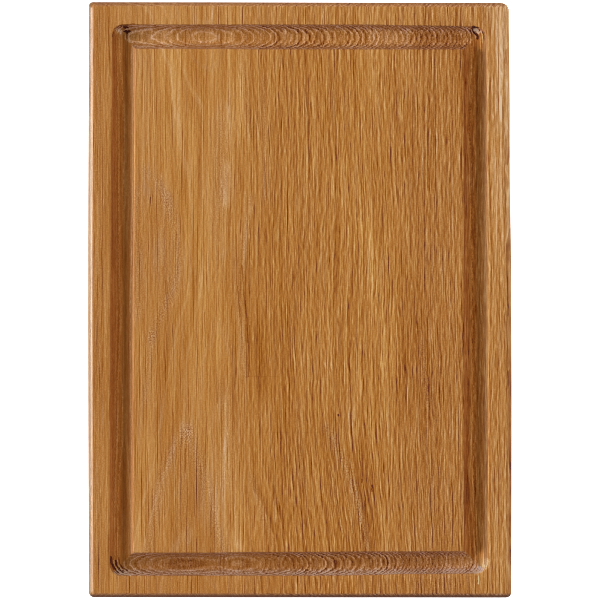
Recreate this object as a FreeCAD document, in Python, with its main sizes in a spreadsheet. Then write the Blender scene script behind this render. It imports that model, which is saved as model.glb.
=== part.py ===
import FreeCAD, Part
import math
import os

import Sketcher
from FreeCAD import Vector

# Serving board: one plank of oak with a juice groove near the edge of its upper face.
# Lengths are millimetres. The underside lies on z = 0 with the board's centre on the z axis,
# the grain and the long side run along y, and "back" is the +y end.

# Driving dimensions: each is a cell of the sheet, with its name as the cell's alias.
SIZES = [
    ("board_length", 350, "long side, along the grain"),
    ("board_width", 249, "short side, across the grain"),
    ("board_thickness", 20, "from the underside to the upper face"),
    ("corner_back_left", 3.4, "radius of the sanded corner, seen from above"),
    ("corner_back_right", 5, "radius of the sanded corner, seen from above"),
    ("corner_front_left", 3.4, "radius of the sanded corner, seen from above"),
    ("corner_front_right", 3.4, "radius of the sanded corner, seen from above"),
    ("edge_bevel", 2.7, "leg of the 45 degree bevel along the outer edges, above and below"),
    ("groove_inset", 20.2, "from the board's side to the middle of the groove"),
    ("groove_depth", 6, "from the upper face to the bottom of the groove"),
    ("groove_nose", 7.1, "radius of the round-nosed cutter that makes the groove"),
    ("groove_easing", 0.7, "radius of the eased edges along the groove"),
]

START, END, CENTRE = 1, 2, 3
ORIGIN = (-1, 1)
LEVEL_TOLERANCE = 1e-4


def make_sheet(doc):
    sheet = doc.addObject("Spreadsheet::Sheet", "Sizes")
    for row, (name, value, note) in enumerate(SIZES, start=1):
        sheet.set(f"A{row}", name)
        sheet.set(f"B{row}", str(value))
        sheet.set(f"C{row}", note)
        sheet.setAlias(f"B{row}", name)
    doc.recompute()
    return sheet


def add_sketch(body, name, plane_role):
    sketch = body.newObject("Sketcher::SketchObject", name)
    plane = next(item for item in body.Origin.OriginFeatures if item.Role == plane_role)
    sketch.AttachmentSupport = [(plane, "")]
    sketch.MapMode = "FlatFace"
    return sketch


def constrain(sketch, kind, *where):
    return sketch.addConstraint(Sketcher.Constraint(kind, *where))


def drive(sketch, name, expression, kind, *where):
    """Adds a named dimension whose value follows the expression."""
    index = constrain(sketch, kind, *where)
    sketch.renameConstraint(index, name)
    sketch.setExpression(f"Constraints.{name}", expression)


def draw_outline(sketch, sheet):
    """A rectangle about the origin with a radius of its own at each corner."""
    half_x = sheet.board_width / 2
    half_y = sheet.board_length / 2
    corners = [
        ("corner_front_right", 1, -1, -90),
        ("corner_back_right", 1, 1, 0),
        ("corner_back_left", -1, 1, 90),
        ("corner_front_left", -1, -1, 180),
    ]
    arcs = []
    for name, side_x, side_y, start_angle in corners:
        radius = getattr(sheet, name)
        centre = Vector(side_x * (half_x - radius), side_y * (half_y - radius), 0)
        circle = Part.Circle(centre, Vector(0, 0, 1), radius)
        start = math.radians(start_angle)
        arc = Part.ArcOfCircle(circle, start, start + math.pi / 2)
        arcs.append((name, sketch.addGeometry(arc), arc))

    lines = []
    for number, (_, index, arc) in enumerate(arcs):
        _, next_index, next_arc = arcs[(number + 1) % len(arcs)]
        line = sketch.addGeometry(Part.LineSegment(arc.EndPoint, next_arc.StartPoint))
        constrain(sketch, "Tangent", index, END, line, START)
        constrain(sketch, "Tangent", line, END, next_index, START)
        lines.append(line)
    right, back, left, front = lines
    for line in (right, left):
        constrain(sketch, "Vertical", line)
    for line in (back, front):
        constrain(sketch, "Horizontal", line)

    for name, index, arc in arcs:
        drive(sketch, name, f"Sizes.{name}", "Radius", index, arc.Radius)
    half_width = "Sizes.board_width / 2"
    half_length = "Sizes.board_length / 2"
    drive(sketch, "right_side", half_width, "DistanceX", *ORIGIN, right, START, half_x)
    drive(sketch, "left_side", half_width, "DistanceX", left, START, *ORIGIN, half_x)
    drive(sketch, "back_end", half_length, "DistanceY", *ORIGIN, back, START, half_y)
    drive(sketch, "front_end", half_length, "DistanceY", front, START, *ORIGIN, half_y)


def draw_cutter(sketch, sheet, side, middle, middle_expression):
    """The cutter's section across a channel: a half round with straight flanks above it.

    side is +1 or -1 and says on which side of the origin the channel lies.
    """
    nose = sheet.groove_nose
    centre_height = sheet.board_thickness - sheet.groove_depth + nose
    top_height = centre_height + sheet.groove_depth
    middle = side * middle
    circle = Part.Circle(Vector(middle, centre_height, 0), Vector(0, 0, 1), nose)
    bottom = sketch.addGeometry(Part.ArcOfCircle(circle, math.pi, 2 * math.pi))
    outline = [
        Vector(middle + nose, centre_height, 0),
        Vector(middle + nose, top_height, 0),
        Vector(middle - nose, top_height, 0),
        Vector(middle - nose, centre_height, 0),
    ]
    right, top, left = [
        sketch.addGeometry(Part.LineSegment(one, other))
        for one, other in zip(outline, outline[1:])
    ]
    constrain(sketch, "Tangent", bottom, END, right, START)
    constrain(sketch, "Coincident", right, END, top, START)
    constrain(sketch, "Coincident", top, END, left, START)
    constrain(sketch, "Tangent", left, END, bottom, START)
    constrain(sketch, "Vertical", right)
    constrain(sketch, "Horizontal", top)
    constrain(sketch, "Vertical", left)

    word = "right" if side > 0 else "left"
    ends = [*ORIGIN, bottom, CENTRE] if side > 0 else [bottom, CENTRE, *ORIGIN]
    drive(sketch, f"{word}_middle", middle_expression, "DistanceX", *ends, abs(middle))
    drive_cutter_heights(sketch, sheet, word, bottom, right)


def draw_half_cutter(sketch, sheet):
    """Half of the cutter's section, beside its own axis, which is the sketch's vertical axis."""
    nose = sheet.groove_nose
    centre_height = sheet.board_thickness - sheet.groove_depth + nose
    top_height = centre_height + sheet.groove_depth
    circle = Part.Circle(Vector(0, centre_height, 0), Vector(0, 0, 1), nose)
    bottom = sketch.addGeometry(Part.ArcOfCircle(circle, 1.5 * math.pi, 2 * math.pi))
    outline = [
        Vector(nose, centre_height, 0),
        Vector(nose, top_height, 0),
        Vector(0, top_height, 0),
        Vector(0, centre_height - nose, 0),
    ]
    flank, top, axis = [
        sketch.addGeometry(Part.LineSegment(one, other))
        for one, other in zip(outline, outline[1:])
    ]
    vertical_axis = -2
    constrain(sketch, "Tangent", bottom, END, flank, START)
    constrain(sketch, "Coincident", flank, END, top, START)
    constrain(sketch, "Coincident", top, END, axis, START)
    constrain(sketch, "Coincident", axis, END, bottom, START)
    constrain(sketch, "Vertical", flank)
    constrain(sketch, "Horizontal", top)
    constrain(sketch, "PointOnObject", bottom, CENTRE, vertical_axis)
    constrain(sketch, "PointOnObject", axis, START, vertical_axis)
    constrain(sketch, "PointOnObject", axis, END, vertical_axis)
    drive_cutter_heights(sketch, sheet, "corner", bottom, flank)


def drive_cutter_heights(sketch, sheet, word, bottom, flank):
    """Ties the cutter's radius, its height over the underside and its length to the sheet."""
    depth = sheet.groove_depth
    centre_height = sheet.board_thickness - depth + sheet.groove_nose
    centre_expression = "Sizes.board_thickness - Sizes.groove_depth + Sizes.groove_nose"
    drive(sketch, f"{word}_nose", "Sizes.groove_nose", "Radius", bottom, sheet.groove_nose)
    drive(
        sketch, f"{word}_height", centre_expression,
        "DistanceY", *ORIGIN, bottom, CENTRE, centre_height,
    )
    drive(
        sketch, f"{word}_flank", "Sizes.groove_depth",
        "DistanceY", flank, START, flank, END, depth,
    )


def add_plank(body, sheet):
    outline = add_sketch(body, "PlankOutline", "XY_Plane")
    draw_outline(outline, sheet)
    plank = body.newObject("PartDesign::Pad", "Plank")
    plank.Profile = outline
    plank.setExpression("Length", "Sizes.board_thickness")


def add_channels(body, sheet, name, plane_role, across, along):
    """A pair of straight channels, one on each side of the board's middle.

    across and along name the board's size at right angles to the channels and along them.
    """
    sections = add_sketch(body, f"{name}Sections", plane_role)
    middle = getattr(sheet, across) / 2 - sheet.groove_inset
    middle_expression = f"Sizes.{across} / 2 - Sizes.groove_inset"
    for side in (1, -1):
        draw_cutter(sections, sheet, side, middle, middle_expression)
    channels = body.newObject("PartDesign::Pocket", name)
    channels.Profile = sections
    channels.SideType = "Symmetric"
    channels.setExpression("Length", f"Sizes.{along} - 2 * Sizes.groove_inset")


def add_groove_corners(doc, body, sheet):
    """Where two channels meet, the turning cutter leaves a round seat about its own axis."""
    section = add_sketch(body, "GrooveCornerSection", "XZ_Plane")
    section.setExpression(
        ".AttachmentOffset.Base.x", "Sizes.board_width / 2 - Sizes.groove_inset"
    )
    section.setExpression(
        ".AttachmentOffset.Base.z", "Sizes.board_length / 2 - Sizes.groove_inset"
    )
    draw_half_cutter(section, sheet)
    doc.recompute()
    seat = body.newObject("PartDesign::Groove", "GrooveCorner")
    seat.Profile = section
    seat.ReferenceAxis = (section, ["V_Axis"])
    seat.Angle = 360
    doc.recompute()

    corners = body.newObject("PartDesign::MultiTransform", "GrooveCorners")
    corners.Originals = [seat]
    mirrors = []
    for name, role in (("CornersLeftRight", "YZ_Plane"), ("CornersFrontBack", "XZ_Plane")):
        plane = next(item for item in body.Origin.OriginFeatures if item.Role == role)
        mirror = body.newObject("PartDesign::Mirrored", name)
        mirror.MirrorPlane = (plane, [""])
        mirrors.append(mirror)
    corners.Transformations = mirrors
    body.Tip = corners
    doc.recompute()


def edge_lies_at(edge, height):
    box = edge.BoundBox
    return abs(box.ZMin - height) < LEVEL_TOLERANCE and abs(box.ZMax - height) < LEVEL_TOLERANCE


def edge_is_on_outline(edge, sheet):
    box = edge.BoundBox
    reach_x = max(abs(box.XMin), abs(box.XMax))
    reach_y = max(abs(box.YMin), abs(box.YMax))
    at_side = abs(reach_x - sheet.board_width / 2) < LEVEL_TOLERANCE
    at_end = abs(reach_y - sheet.board_length / 2) < LEVEL_TOLERANCE
    return at_side or at_end


def dress_edges(doc, body, kind, name, size_property, size_name, chosen):
    """Adds a Fillet or Chamfer to the edges of the present shape that the function chosen picks."""
    base = body.Tip
    names = [
        f"Edge{number}"
        for number, edge in enumerate(base.Shape.Edges, start=1)
        if chosen(edge)
    ]
    dressing = body.newObject(f"PartDesign::{kind}", name)
    dressing.Base = (base, names)
    dressing.setExpression(size_property, f"Sizes.{size_name}")
    doc.recompute()


def build_board(doc, sheet):
    body = doc.addObject("PartDesign::Body", "ServingBoard")
    body.Label = "serving_board"
    add_plank(body, sheet)
    add_channels(body, sheet, "LongChannels", "XZ_Plane", "board_width", "board_length")
    add_channels(body, sheet, "CrossChannels", "YZ_Plane", "board_length", "board_width")
    add_groove_corners(doc, body, sheet)

    top = sheet.board_thickness
    dress_edges(
        doc, body, "Fillet", "GrooveEasing", "Radius", "groove_easing",
        lambda edge: edge_lies_at(edge, top) and not edge_is_on_outline(edge, sheet),
    )
    dress_edges(
        doc, body, "Chamfer", "EdgeBevels", "Size", "edge_bevel",
        lambda edge: edge_is_on_outline(edge, sheet)
        and (edge_lies_at(edge, top) or edge_lies_at(edge, 0)),
    )
    return body


def check_document(doc, pieces):
    """Stops before anything is written if a feature failed or a piece has no sound solid."""
    for item in doc.Objects:
        if "Invalid" in item.State or "Error" in item.State:
            raise RuntimeError(f"{item.Name} failed: {item.State}")
    for piece in pieces:
        if piece.Shape.isNull() or not piece.Shape.isValid():
            raise RuntimeError(f"{piece.Label} has no sound shape")


def main():
    doc = FreeCAD.newDocument("ServingBoard")
    sheet = make_sheet(doc)
    pieces = [build_board(doc, sheet)]
    doc.recompute()
    check_document(doc, pieces)
    os.makedirs("parts", exist_ok=True)
    for piece in pieces:
        piece.Shape.exportStep(f"parts/{piece.Label}.step")
        box = piece.Shape.BoundBox
        print(
            f"{piece.Label}: {box.XLength:.2f} x {box.YLength:.2f} x {box.ZLength:.2f} mm,"
            f" {piece.Shape.Volume / 1000:.1f} cm3, {len(piece.Shape.Solids)} solid"
        )


main()
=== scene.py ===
import math
from types import SimpleNamespace

import bmesh
import bpy
import numpy as np
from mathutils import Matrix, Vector, noise

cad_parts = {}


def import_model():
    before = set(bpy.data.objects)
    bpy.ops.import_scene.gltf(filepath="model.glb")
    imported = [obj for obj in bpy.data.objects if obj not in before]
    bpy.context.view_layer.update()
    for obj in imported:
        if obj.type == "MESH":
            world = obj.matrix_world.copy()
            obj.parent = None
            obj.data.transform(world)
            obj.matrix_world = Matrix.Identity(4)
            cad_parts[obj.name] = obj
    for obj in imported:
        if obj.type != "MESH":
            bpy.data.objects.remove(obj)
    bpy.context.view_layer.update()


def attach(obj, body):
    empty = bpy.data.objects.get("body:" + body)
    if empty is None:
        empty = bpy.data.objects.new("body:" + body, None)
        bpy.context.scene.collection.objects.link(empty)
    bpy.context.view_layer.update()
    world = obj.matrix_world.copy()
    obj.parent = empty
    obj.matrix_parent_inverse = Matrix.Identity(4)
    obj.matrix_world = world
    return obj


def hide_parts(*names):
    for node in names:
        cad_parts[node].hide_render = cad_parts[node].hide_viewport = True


# Looks of a solid oak serving board with a juice groove. Lengths in the board's own tables are
# millimetres in the CAD frame: x across the grain, y along it, z up from the underside.

METRES = 0.001
NODE = "serving_board"

# The board's section, as the solid has it.
HALF_WIDTH = 124.5
HALF_LENGTH = 175.0
THICKNESS = 20.0
BEVEL = 2.7
GROOVE_X = 104.3
GROOVE_Y = 154.8
GROOVE_DEPTH = 6.0
GROOVE_NOSE = 7.1
GROOVE_EASING = 0.7

# What sanding by hand leaves: softened arrises, and sides that aren't quite straight.
ARRIS = 0.55
CORNER_RADII = {"back_right": 4.6, "back_left": 2.3, "front_left": 3.2, "front_right": 3.0}
SIDE_INSETS = {
    "right": [(-175, 0.22), (-60, 0.05), (15, 0.3), (76, 1.1), (110, 1.15), (175, 1.6)],
    "left": [(-175, 0.4), (0, 0.03), (175, 0.45)],
    "back": [(-124, 0), (124, 0.42)],
    "front": [(-124, 0.2), (124, 0)],
}
WAVINESS = 0.06
WAVES_PER_MM = (0.03, 0.03, 0.11)
# What sanding took off begins this far in from a side, and is whole this near to it.
SANDED_FROM = 12.5
SANDED_WHOLE = 3.0
# How far each edge of the groove was cut off its line: (place along the side, shift towards +x or +y).
GROOVE_DRIFT = {
    "left": {
        "outer": [(-150, -0.45), (-30, -0.1), (50, 0.2), (150, 1.15)],
        "inner": [(-150, -0.6), (-110, -0.8), (-60, -0.65), (0, -0.3), (70, 0.05), (150, 0.5)],
    },
    "right": {
        "outer": [(-150, -1.1), (-88, -0.85), (-40, -1), (10, -1.15), (53, -1.6), (150, -1.65)],
        "inner": [(-150, -1.05), (60, -1.05), (150, -1.2)],
    },
    "back": {
        "outer": [(-60, -0.3), (40, -0.35), (68, -0.8), (85, -1.05), (105, -1.5)],
        "inner": [(-95, -0.3), (-50, -0.4), (-20, -0.7), (105, -0.75)],
    },
    "front": {
        "outer": [(20, 0), (40, 0.3), (60, 0.9), (105, 1.2)],
        "inner": [(-95, -0.7), (-56, -0.7), (-30, -0.35), (15, -0.2), (32, 0), (105, 0.15)],
    },
}
# The inner edge's drift turns into the outer edge's within this distance of the groove's middle.
GROOVE_HALF = 5.0
# The drift is whole this near to the groove's middle, and gone this far from it.
DRIFT_WHOLE = 9.0
DRIFT_END = 19.0
# Middle of each side groove as cut: its x halfway along, and the change of x for each mm of y.
LEFT_GROOVE_LINE = (-104.4, 0.0047)
RIGHT_GROOVE_LINE = (103.15, -0.0013)

# Divisions of the mesh: steps in each corner and each curve, and their lengths in mm.
ARC_STEPS = 6
EASING_STEPS = 4
NOSE_STEPS = 10
STEP_ACROSS = 1.5
STEP_ALONG = 2.5
SIDES_X = round(2 * HALF_WIDTH / STEP_ACROSS)
SIDES_Y = round(2 * HALF_LENGTH / STEP_ALONG)
# The corners as a loop passes them: name, side in x and y, and the angle where the arc starts.
CORNERS = [
    ("back_right", 1, 1, 0),
    ("back_left", -1, 1, 90),
    ("front_left", -1, -1, 180),
    ("front_right", 1, -1, 270),
]
RIM_INSETS = (4.5, 6.5, 8.5, 10.5)
# An arris's middle point: how far it lies in and along, in shares of the arris's tangent.
ARRIS_IN = 0.12
ARRIS_ALONG = 0.2
# The underside's inner loop has square corners, so that a plain grid fills it.
UNDERSIDE_INSET = 8.0
# In metres: points nearer to each other than this are one, and edges shorter than this go.
SAME_POINT = 1e-6
NO_LENGTH = 1e-7
SHARP_ANGLE = 50


def main():
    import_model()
    oak = make_oak()
    board = make_board(oak)
    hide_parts(NODE)
    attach(board, "root")
    make_floor()
    make_lights()
    make_camera()


# Board mesh


def interpolate(table, where):
    """Smooth value at a place along a side, from a table of (place, value)."""
    if where <= table[0][0]:
        return table[0][1]
    for (start, low), (end, high) in zip(table, table[1:]):
        if where <= end:
            share = (where - start) / (end - start)
            share = share * share * (3 - 2 * share)
            return low + (high - low) * share
    return table[-1][1]


def rise(value, start, end):
    """0 up to start and 1 from end on, or the reverse if end is below start."""
    return max(0, min(1, (value - start) / (end - start)))


def loop(reach_x, reach_y, radii, height):
    """A closed row of points round the board: four corner arcs joined by four divided sides.

    Every loop has the same number of points, so two loops join into a strip of faces.
    """
    arcs = []
    for name, side_x, side_y, start in CORNERS:
        radius = max(radii[name], 0)
        centre_x = side_x * (reach_x - radius)
        centre_y = side_y * (reach_y - radius)
        arc = []
        for step in range(ARC_STEPS + 1):
            angle = math.radians(start + 90 * step / ARC_STEPS)
            arc.append((centre_x + radius * math.cos(angle), centre_y + radius * math.sin(angle)))
        arcs.append(arc)
    points = []
    for number, arc in enumerate(arcs):
        points += [(x, y, height) for x, y in arc]
        end = arc[-1]
        start = arcs[(number + 1) % 4][0]
        divisions = SIDES_Y if number % 2 else SIDES_X
        for step in range(1, divisions):
            share = step / divisions
            x = end[0] + (start[0] - end[0]) * share
            y = end[1] + (start[1] - end[1]) * share
            points.append((x, y, height))
    return points


def drifted(place, groove, drift, along):
    """Moves the places near a groove sideways, as far as its edges were cut off their lines."""
    off = abs(place) - groove
    outward = rise(off, -GROOVE_HALF, GROOVE_HALF)
    outer = interpolate(drift["outer"], along)
    inner = interpolate(drift["inner"], along)
    return place + (inner + (outer - inner) * outward) * rise(abs(off), DRIFT_END, DRIFT_WHOLE)


def worn(x, y, z):
    """Moves a point as the cutter ran, and near the sides inwards by what sanding took off."""
    new_x = drifted(x, GROOVE_X, GROOVE_DRIFT["right" if x > 0 else "left"], y)
    new_y = drifted(y, GROOVE_Y, GROOVE_DRIFT["back" if y > 0 else "front"], x)
    inset_x = interpolate(SIDE_INSETS["right" if x > 0 else "left"], y)
    inset_y = interpolate(SIDE_INSETS["back" if y > 0 else "front"], x)
    wave = WAVINESS * (0.5 + 0.5 * noise.noise(Vector((x, y, z)) * Vector(WAVES_PER_MM)))
    near_x = rise(abs(x), HALF_WIDTH - SANDED_FROM, HALF_WIDTH - SANDED_WHOLE)
    near_y = rise(abs(y), HALF_LENGTH - SANDED_FROM, HALF_LENGTH - SANDED_WHOLE)
    new_x -= math.copysign((inset_x + wave) * near_x, x)
    new_y -= math.copysign((inset_y + wave) * near_y, y)
    return new_x, new_y, z


def edge_profile():
    """(inset from the side, height) of the outer edge, from the underside to the upper face."""
    tangent = ARRIS * math.tan(math.radians(22.5))
    slope = tangent * math.sqrt(0.5)
    upper = [
        (0, THICKNESS / 2),
        (0, THICKNESS - BEVEL - tangent),
        (tangent * ARRIS_IN, THICKNESS - BEVEL - tangent * ARRIS_ALONG),
        (slope, THICKNESS - BEVEL + slope),
        (BEVEL - slope, THICKNESS - slope),
        (BEVEL + tangent * ARRIS_ALONG, THICKNESS - tangent * ARRIS_IN),
        (BEVEL + tangent, THICKNESS),
    ]
    lower = [(inset, THICKNESS - height) for inset, height in reversed(upper[1:])]
    rim = [(inset, THICKNESS) for inset in RIM_INSETS]
    return [(UNDERSIDE_INSET, 0)] + lower + upper + rim


def groove_profile():
    """(distance from the groove's middle, height) across half of the groove, from its rim down."""
    nose_height = THICKNESS - GROOVE_DEPTH + GROOVE_NOSE
    reach = GROOVE_NOSE + GROOVE_EASING
    drop = nose_height - (THICKNESS - GROOVE_EASING)
    rim = math.sqrt(reach * reach - drop * drop)
    contact = math.asin(drop / reach)
    points = []
    for step in range(EASING_STEPS + 1):
        angle = math.pi / 2 - (math.pi / 2 - contact) * step / EASING_STEPS
        across = rim - GROOVE_EASING * math.cos(angle)
        height = THICKNESS - GROOVE_EASING + GROOVE_EASING * math.sin(angle)
        points.append((across, height))
    for step in range(1, NOSE_STEPS + 1):
        angle = (math.pi / 2 - contact) * (1 - step / NOSE_STEPS)
        points.append((GROOVE_NOSE * math.sin(angle), nose_height - GROOVE_NOSE * math.cos(angle)))
    return points


def board_loops():
    """All loops, from the middle of the underside, round the edge and through the groove."""
    loops = []
    for inset, height in edge_profile():
        radii = {name: radius - inset for name, radius in CORNER_RADII.items()}
        loops.append(loop(HALF_WIDTH - inset, HALF_LENGTH - inset, radii, height))
    half = groove_profile()
    sharp = dict.fromkeys(CORNER_RADII, 0)
    for across, height in half:
        round_corners = dict.fromkeys(CORNER_RADII, across)
        loops.append(loop(GROOVE_X + across, GROOVE_Y + across, round_corners, height))
    for across, height in reversed(half[:-1]):
        loops.append(loop(GROOVE_X - across, GROOVE_Y - across, sharp, height))
    return loops


def make_board(material):
    loops = board_loops()
    count = len(loops[0])
    vertices = [worn(*point) for points in loops for point in points]
    faces = []
    for number in range(len(loops) - 1):
        for step in range(count):
            following = (step + 1) % count
            low, high = number * count, (number + 1) * count
            faces.append((low + step, low + following, high + following, high + step))

    mesh = bpy.data.meshes.new("serving_board_oak")
    mesh.from_pydata([[value * METRES for value in vertex] for vertex in vertices], [], faces)

    form = bmesh.new()
    form.from_mesh(mesh)
    form.verts.ensure_lookup_table()
    first = [form.verts[index] for index in range(count)]
    last = [form.verts[(len(loops) - 1) * count + index] for index in range(count)]
    fill_with_grid(form, last, is_underside=False)
    fill_with_grid(form, first, is_underside=True)
    bmesh.ops.remove_doubles(form, verts=form.verts, dist=SAME_POINT)
    bmesh.ops.dissolve_degenerate(form, dist=NO_LENGTH, edges=form.edges)
    bmesh.ops.recalc_face_normals(form, faces=form.faces)
    form.to_mesh(mesh)
    form.free()
    mesh.materials.append(material)
    add_grain(mesh)
    for polygon in mesh.polygons:
        polygon.use_smooth = True
    mesh.set_sharp_from_angle(angle=math.radians(SHARP_ANGLE))
    return add_object(mesh.name, mesh)


def add_object(name, data):
    thing = bpy.data.objects.new(name, data)
    bpy.context.scene.collection.objects.link(thing)
    return thing


def fill_with_grid(form, border, is_underside):
    """Fills the area inside a border loop with rows of quads that share the border's points."""
    left_start = SIDES_X + 2 * ARC_STEPS
    front_start = left_start + SIDES_Y + ARC_STEPS
    right_start = front_start + SIDES_X + ARC_STEPS
    back = border[ARC_STEPS:ARC_STEPS + SIDES_X + 1][::-1]
    left = border[left_start:left_start + SIDES_Y + 1][::-1]
    front = border[front_start:front_start + SIDES_X + 1]
    right = border[right_start:] + [border[0]]
    rows = [[left[0]] + front[1:-1] + [right[0]]]
    for row in range(1, SIDES_Y):
        low, high = left[row].co, right[row].co
        line = [left[row]]
        for column in range(1, SIDES_X):
            bottom, top = front[column].co, back[column].co
            x = low.x + (high.x - low.x) * column / SIDES_X
            y = bottom.y + (top.y - bottom.y) * row / SIDES_Y
            line.append(form.verts.new((x, y, low.z)))
        rows.append(line + [right[row]])
    rows.append([left[-1]] + back[1:-1] + [right[-1]])
    for lower, upper in zip(rows, rows[1:]):
        for column in range(SIDES_X):
            corners = [lower[column], lower[column + 1], upper[column + 1], upper[column]]
            form.faces.new(corners[::-1] if is_underside else corners)


# Oak


def operator(operation, is_reversed=False):
    """Method of a Field that makes a Math node of an arithmetic sign."""
    def apply(self, other):
        values = (other, self) if is_reversed else (self, other)
        return self.graph.math(operation, *values)
    return apply


class Field:
    """A number or point that varies over the wood: one output of the node graph."""

    def __init__(self, graph, socket):
        self.graph = graph
        self.socket = socket

    __add__ = operator("ADD")
    __radd__ = operator("ADD", True)
    __sub__ = operator("SUBTRACT")
    __rsub__ = operator("SUBTRACT", True)
    __mul__ = operator("MULTIPLY")
    __truediv__ = operator("DIVIDE")

    def __abs__(self):
        return self.graph.math("ABSOLUTE", self)

    def __neg__(self):
        return self * -1.0


# Brings the values of a noise texture to a spread of about 1.
NOISE_GAIN = 7.0
# From the middle of a dark streak to the bright one beside it, in mm.
TWIN_STEP = 1.2
TWIN_GAIN = 0.7
# How many cells a column of dashes may be shifted.
DASH_SCATTER = 10.0
# Share of a cell's width that is kept free on either side.
DASH_MARGIN = 0.15
# Where a dash swells and tapers, in shares of its cell's length.
DASH_POINTS = (0, 0.3, 0.6, 1)
# Share of its half width that is wholly dark, and the blur beyond it in mm.
DASH_CORE = 0.4
DASH_BLUR = 0.02
# The wood beside a dash is brighter: as far from it in mm, and in shares of the cell's length.
DASH_SIDES = (0.4, 1.3)
DASH_SIDE_ENDS = (0.05, 0.2, 0.8, 0.95)
DASH_CONTRAST = 0.3
DASH_FAINTEST = 0.4
# Shares of a mark's half width where it starts to fade and where it ends.
STROKE_CORE = 0.4
STROKE_EDGE = 1.2


class Graph:
    """Builds the nodes of one material from short formulas."""

    def __init__(self, name):
        self.material = bpy.data.materials.new(name)
        self.material.use_nodes = True
        self.tree = self.material.node_tree
        self.tree.nodes.clear()

    def node(self, kind, inputs, output=0, **settings):
        """One output of a new node, whose inputs are given by number or by name."""
        node = self.tree.nodes.new(kind)
        for name, value in settings.items():
            setattr(node, name, value)
        for name, value in inputs.items():
            if isinstance(value, Field):
                self.tree.links.new(value.socket, node.inputs[name])
            else:
                node.inputs[name].default_value = value
        return Field(self, node.outputs[output])

    def show(self, shader):
        """Makes the shader the material's surface."""
        surface = self.tree.nodes.new("ShaderNodeOutputMaterial").inputs[0]
        self.tree.links.new(shader.socket, surface)

    def math(self, operation, *values):
        return self.node("ShaderNodeMath", dict(enumerate(values)), operation=operation)

    def point(self, x, y, z):
        return self.node("ShaderNodeCombineXYZ", {0: x, 1: y, 2: z})

    def split(self, point):
        first = self.node("ShaderNodeSeparateXYZ", {0: point})
        return [Field(self, socket) for socket in first.socket.node.outputs]

    def vector(self, operation, one, other, output=0):
        second = 3 if operation == "SCALE" else 1
        return self.node("ShaderNodeVectorMath", {0: one, second: other}, output, operation=operation)

    def mix(self, share, one, other, blend="MIX"):
        inputs = {0: share, 6: one, 7: other}
        settings = {"data_type": "RGBA", "blend_type": blend, "clamp_factor": True}
        return self.node("ShaderNodeMix", inputs, 2, **settings)

    def shade(self, colour, share, tint):
        """Multiplies the colour by the tint, as far as the share says."""
        return self.mix(share, colour, (*tint, 1), blend="MULTIPLY")

    def ramp(self, value, stops):
        colour = self.node("ShaderNodeValToRGB", {0: value})
        elements = colour.socket.node.color_ramp.elements
        while len(elements) < len(stops):
            elements.new(0.5)
        for element, (place, stop) in zip(elements, stops):
            element.position = place
            element.color = (*stop, 1)
        return colour

    def step(self, value, low, high):
        """0 below low and 1 above high, with a smooth rise between."""
        inputs = {"Value": value, "From Min": low, "From Max": high}
        return self.node("ShaderNodeMapRange", inputs, interpolation_type="SMOOTHSTEP", clamp=False)

    def fall(self, value, low, high):
        """1 below low and 0 above high."""
        return 1.0 - self.step(value, low, high)

    def window(self, value, begins, whole, fades, ends):
        """1 from whole to fades, and 0 before it begins and after it ends."""
        return self.step(value, begins, whole) * self.fall(value, fades, ends)

    def speck(self, value):
        """A random number from 0 to 1 for each whole number."""
        return self.node("ShaderNodeTexWhiteNoise", {"W": value}, "Value", noise_dimensions="1D")

    def noise(self, point, detail):
        """Noise of mean 0 and a spread of about 1, with features about as wide as one unit."""
        inputs = {"Vector": point, "Scale": 1, "Detail": detail, "Roughness": 0.5}
        value = self.node("ShaderNodeTexNoise", inputs, noise_dimensions="3D", normalize=True)
        return (value - 0.5) * NOISE_GAIN

    def streaks(self, place, width, length, shift=0, detail=0):
        """Noise with features of a width and a length along the grain, both in mm."""
        across, along, depth = place
        crosswise = across / width
        lengthwise = along / length
        if shift:
            lengthwise = lengthwise + shift
        return self.noise(self.point(crosswise, lengthwise, depth / width), detail)

    def twin(self, place, width, length):
        """Noise of mean 0 whose dark and bright streaks lie side by side."""
        across, along, depth = place
        one = self.streaks(place, width, length)
        other = self.streaks((across + TWIN_STEP, along, depth), width, length)
        return (one - other) * TWIN_GAIN

    def dashes(self, across, along, spacing, length, half_width, share, seed):
        """Thin lines along the grain, one to a cell at most, with pointed ends and random places."""
        columns = across / spacing + seed
        column = self.math("FLOOR", columns)
        rows = along / length + self.speck(column) * DASH_SCATTER
        row = self.math("FLOOR", rows)
        cell = {"Vector": self.point(column, row, seed)}
        chances = self.node("ShaderNodeTexWhiteNoise", cell, "Color", noise_dimensions="3D")
        place, chance, strength = self.split(chances)
        place = place * (1.0 - 2.0 * DASH_MARGIN) + DASH_MARGIN
        gap = abs(self.math("FRACT", columns) - place) * spacing
        part = self.math("FRACT", rows)
        width = self.window(part, *DASH_POINTS) * half_width
        line = self.fall(gap, width * DASH_CORE, width + DASH_BLUR)
        beside = self.fall(gap, *DASH_SIDES) * self.window(part, *DASH_SIDE_ENDS)
        is_there = self.math("LESS_THAN", chance, share)
        strength = strength * (1.0 - DASH_FAINTEST) + DASH_FAINTEST
        return (line * (1.0 + DASH_CONTRAST) - beside * DASH_CONTRAST) * is_there * strength

    def stroke(self, place, start, end, half_width):
        """1 on a straight line between two points and 0 beside it."""
        start = Vector((*start, 0))
        way = Vector((*end, 0)) - start
        offset = self.vector("SUBTRACT", place, start)
        share = self.vector("DOT_PRODUCT", offset, way / way.length_squared, 1)
        share = self.math("MINIMUM", self.math("MAXIMUM", share, 0), 1)
        gap = self.vector("DISTANCE", offset, self.vector("SCALE", way, share), 1)
        return self.fall(gap, half_width * STROKE_CORE, half_width * STROKE_EDGE)

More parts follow.
